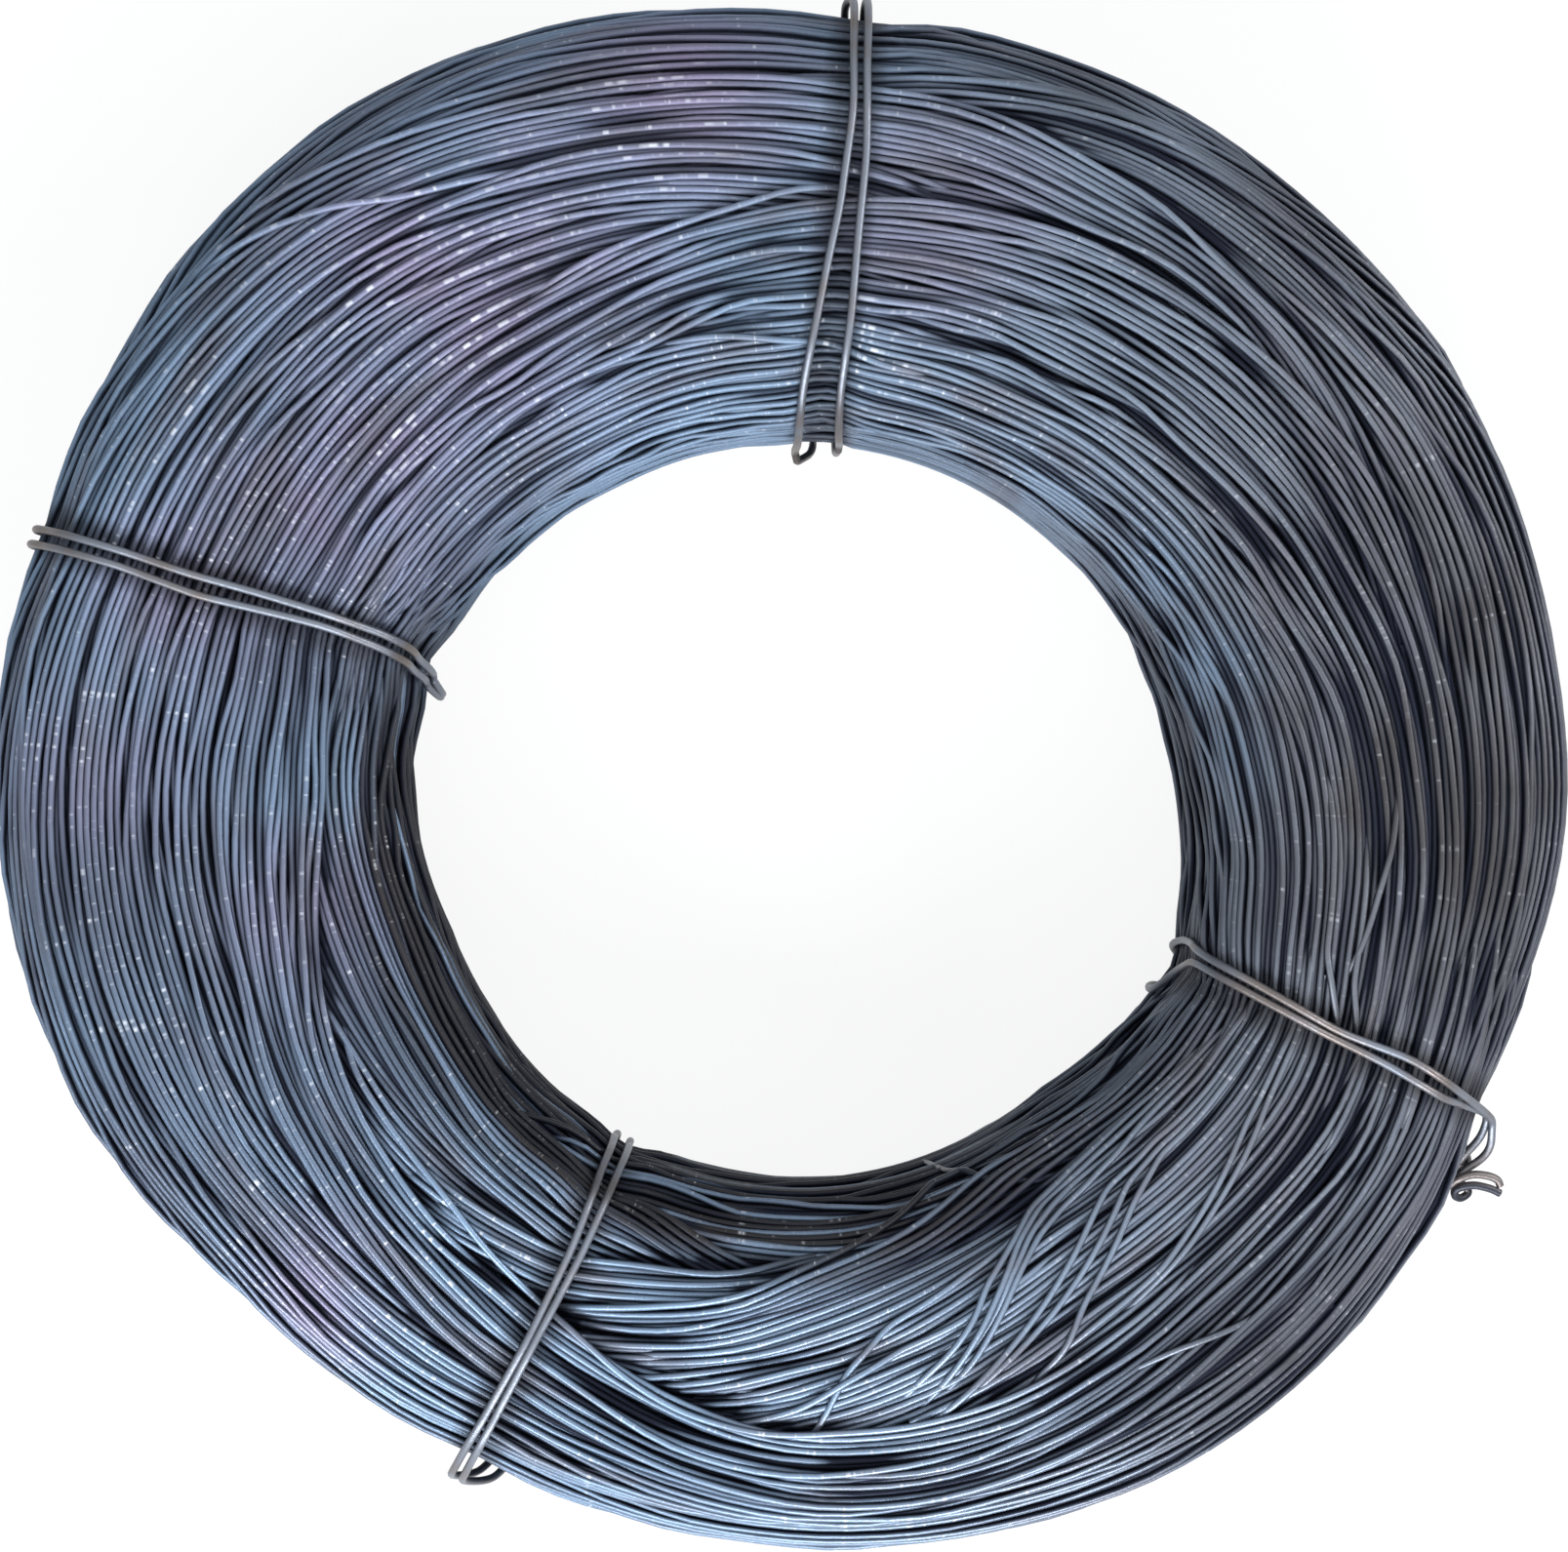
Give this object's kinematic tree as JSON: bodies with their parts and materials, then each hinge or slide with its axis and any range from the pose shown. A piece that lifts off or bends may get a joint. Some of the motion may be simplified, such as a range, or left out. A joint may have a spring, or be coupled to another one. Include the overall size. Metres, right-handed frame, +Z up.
{
  "type": "wire coil",
  "caption": "Ring-shaped coil of dark annealed steel wire lying flat, bound across its section by doubled wire ties, with an open bore for a decoiler spindle or hook.",
  "frame": {"origin": "on the floor that the coil lies on, below the middle of its outer edge", "axes": "+Z up, the way the bore runs, +Y towards the top of the picture, +X towards its right"},
  "size_m": [0.363, 0.3633, 0.0772],
  "materials": {
    "annealed_wire": "dark blue-grey scale left by annealing, satin, with bright specks where it is rubbed",
    "tie_wire": "dark grey annealing scale, satin, brownish at the cut ends"
  },
  "bodies": {
    "root": {"wire_coil": "annealed_wire", "tie_back": "tie_wire", "tie_left": "tie_wire", "tie_front_left": "tie_wire", "tie_front_right": "tie_wire"}
  },
  "joints": []
}
